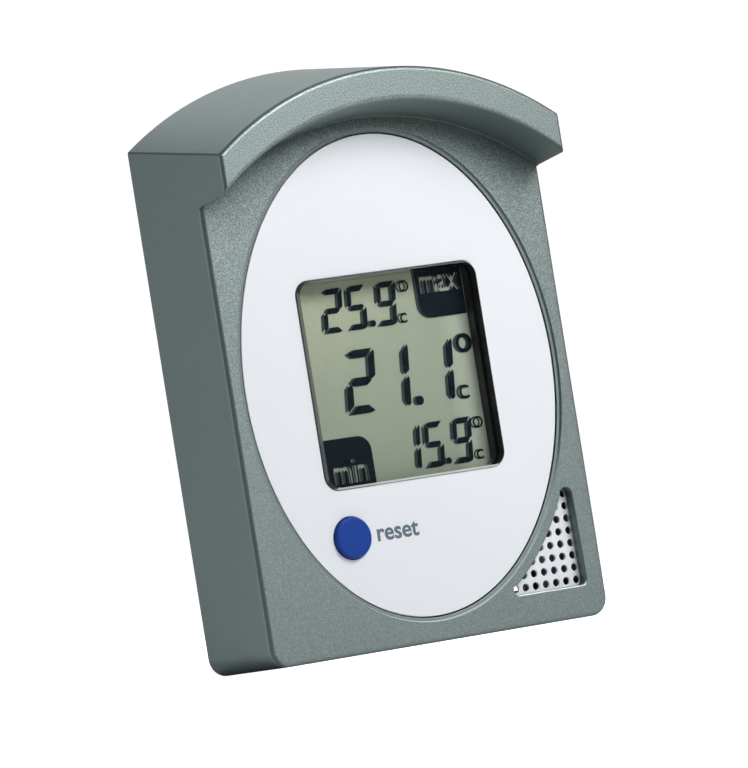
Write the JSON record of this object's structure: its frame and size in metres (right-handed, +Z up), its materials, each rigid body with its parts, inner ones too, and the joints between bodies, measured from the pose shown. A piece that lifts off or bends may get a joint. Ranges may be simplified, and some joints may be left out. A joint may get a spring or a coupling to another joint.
{
  "type": "maximum minimum thermometer",
  "caption": "Arched grey thermometer case with rain hood, white oval face, three-line display, reset button, perforated sensor grille and rear battery door.",
  "frame": {"origin": "middle of the object's bounding box in plan, on the flat base it stands on", "axes": "+Z up along the case, -Y out of the face, +X to the right seen from the front"},
  "size_m": [0.065, 0.027, 0.0944],
  "materials": {
    "housing": "fine-grained grey-green moulded plastic",
    "rear_housing": "smooth grey-green moulded plastic",
    "plate": "smooth cool white plastic",
    "window": "clear polished plastic",
    "button": "satin blue plastic",
    "black_plastic": "black moulded plastic",
    "lcd_glass": "thin clear glass",
    "polariser": "grey-green film",
    "reflector": "grey-green reflective film",
    "rubber": "layered conductive rubber",
    "foam": "dark foam",
    "circuit_board": "green solder mask",
    "steel": "bright plated steel",
    "brass": "plain",
    "ceramic": "tan ceramic",
    "cell_sleeve": "plain blue sleeve, no print",
    "wire_red": "insulated wire",
    "wire_black": "insulated wire"
  },
  "bodies": {
    "case": {"front_housing": "housing", "rear_cover": "rear_housing", "face_plate": "plate", "display_window": "window", "sensor_grille": "plate", "lcd_frame": "black_plastic", "lcd_front_polariser": "polariser", "lcd_front_glass": "lcd_glass", "lcd_rear_glass": "lcd_glass", "lcd_reflector": "reflector", "lcd_foam_pad": "foam", "zebra_strip_upper": "rubber", "zebra_strip_lower": "rubber", "main_board": "circuit_board", "controller_blob": "black_plastic", "crystal_can": "steel", "capacitor_1": "ceramic", "capacitor_2": "ceramic", "resistor_1": "black_plastic", "resistor_2": "black_plastic", "resistor_3": "black_plastic", "switch_base": "black_plastic", "switch_cover": "steel", "thermistor_bead": "black_plastic", "thermistor_lead_1": "steel", "thermistor_lead_2": "steel", "battery_cell": "steel", "battery_sleeve": "cell_sleeve", "battery_spring": "steel", "spring_plate": "brass", "leaf_contact": "brass", "wire_black": "wire_black", "wire_red": "wire_red", "case_screw_1": "steel", "case_screw_2": "steel", "case_screw_3": "steel", "case_screw_4": "steel", "board_screw_1": "steel", "board_screw_2": "steel", "board_screw_3": "steel", "board_screw_4": "steel"},
    "reset_button": {"reset_button": "button", "switch_plunger": "black_plastic"},
    "battery_door": {"battery_door": "rear_housing"}
  },
  "joints": [
    {"name": "reset_press", "type": "slide", "parent": "case", "child": "reset_button", "axis": [0, 1, 0], "range_m": [0, 0.0007], "stiffness_N_per_m": 1200, "springref_m": -0.0003},
    {"name": "battery_door_swing", "type": "hinge", "parent": "case", "child": "battery_door", "pos_m": [0, 0.01265, 0.06615], "axis": [-1, 0, 0], "range_deg": [0, 95]}
  ]
}
